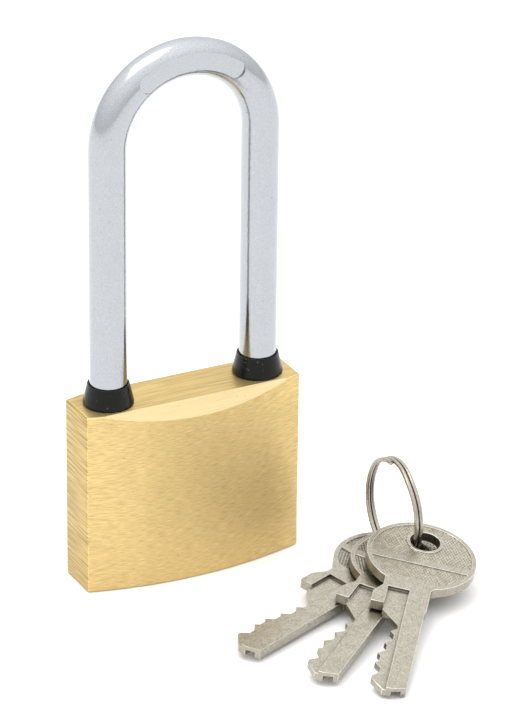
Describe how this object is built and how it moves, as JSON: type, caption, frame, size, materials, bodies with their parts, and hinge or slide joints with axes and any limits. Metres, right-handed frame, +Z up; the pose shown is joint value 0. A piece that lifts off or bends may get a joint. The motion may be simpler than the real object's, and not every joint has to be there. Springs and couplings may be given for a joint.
{
  "type": "padlock",
  "caption": "Brass padlock with crowned faces, a long plated shackle in cone seals, a pin plug that draws two bolts, and flat keys on a split ring.",
  "frame": {"origin": "middle of the body's underside, on the plug's axis", "axes": "+Z up along the shackle legs and the plug's axis, -Y out of the front face, +X towards the toe leg"},
  "size_m": [0.0754, 0.0827, 0.119],
  "materials": {
    "body_brass": "brushed",
    "stopper_brass": "brushed",
    "plug_brass": "machined",
    "shackle_chrome": "bright plated",
    "seal_black": "semi-gloss moulded",
    "inner_steel": "turned",
    "spring_steel": "drawn wire",
    "ring_steel": "satin plated",
    "key_nickel": "satin nickel plated"
  },
  "bodies": {
    "case": {"lock_body": "body_brass", "toe_seal": "seal_black", "heel_seal": "seal_black", "heel_retaining_pin": "inner_steel", "plug_retaining_pin": "inner_steel", "cross_bore_plug": "stopper_brass", "heel_spring": "spring_steel", "bolt_spring": "spring_steel", "driver_pin_1": "plug_brass", "driver_pin_2": "plug_brass", "driver_pin_3": "plug_brass", "driver_pin_4": "plug_brass", "driver_pin_5": "plug_brass", "pin_spring_1": "spring_steel", "pin_spring_2": "spring_steel", "pin_spring_3": "spring_steel", "pin_spring_4": "spring_steel", "pin_spring_5": "spring_steel", "chamber_plug_1": "stopper_brass", "chamber_plug_2": "stopper_brass", "chamber_plug_3": "stopper_brass", "chamber_plug_4": "stopper_brass", "chamber_plug_5": "stopper_brass"},
    "plug": {"plug": "plug_brass", "drive_cam": "inner_steel", "key_pin_1": "plug_brass", "key_pin_2": "plug_brass", "key_pin_3": "plug_brass", "key_pin_4": "plug_brass", "key_pin_5": "plug_brass"},
    "toe_bolt": {"toe_bolt": "inner_steel"},
    "heel_bolt": {"heel_bolt": "inner_steel"},
    "shackle": {"shackle": "shackle_chrome"},
    "key_ring": {"key_ring": "ring_steel"},
    "key_1": {"key_1": "key_nickel"},
    "key_2": {"key_2": "key_nickel"},
    "key_3": {"key_3": "key_nickel"}
  },
  "joints": [
    {"name": "plug_turn", "type": "hinge", "parent": "case", "child": "plug", "pos_m": [0, 0, 0], "axis": [0, 0, 1], "range_deg": [0, 90]},
    {"name": "toe_bolt_draw", "type": "slide", "parent": "case", "child": "toe_bolt", "axis": [-1, 0, 0], "range_m": [0, 0.0055], "deforming": ["bolt_spring"]},
    {"name": "heel_bolt_draw", "type": "slide", "parent": "case", "child": "heel_bolt", "axis": [1, 0, 0], "range_m": [0, 0.0055]},
    {"name": "shackle_lift", "type": "slide", "parent": "case", "child": "shackle", "axis": [0, 0, 1], "range_m": [0, 0.0165], "deforming": ["heel_spring"]},
    {"name": "key_bunch_lift", "type": "slide", "parent": "case", "child": "key_ring", "axis": [0, 0, 1], "range_m": [0, 0.12]},
    {"name": "key_1_swing", "type": "hinge", "parent": "key_ring", "child": "key_1", "pos_m": [0.0399, -0.0254, 0.00275], "axis": [0.0458, -0.126, 0.991], "range_deg": [-15, 0]},
    {"name": "key_2_swing", "type": "hinge", "parent": "key_ring", "child": "key_2", "pos_m": [0.0408, -0.0284, 0.0049], "axis": [0.0459, -0.1291, 0.9906], "range_deg": [-3, 3]},
    {"name": "key_3_swing", "type": "hinge", "parent": "key_ring", "child": "key_3", "pos_m": [0.04175, -0.0311, 0.00795], "axis": [0.0574, -0.191, 0.9799], "range_deg": [0, 30]}
  ],
  "couplings": [
    {"joint": "plug_turn", "follows": "shackle_lift", "rad_per_m": 95.2},
    {"joint": "toe_bolt_draw", "follows": "shackle_lift", "ratio": 0.33333},
    {"joint": "heel_bolt_draw", "follows": "shackle_lift", "ratio": 0.33333}
  ]
}
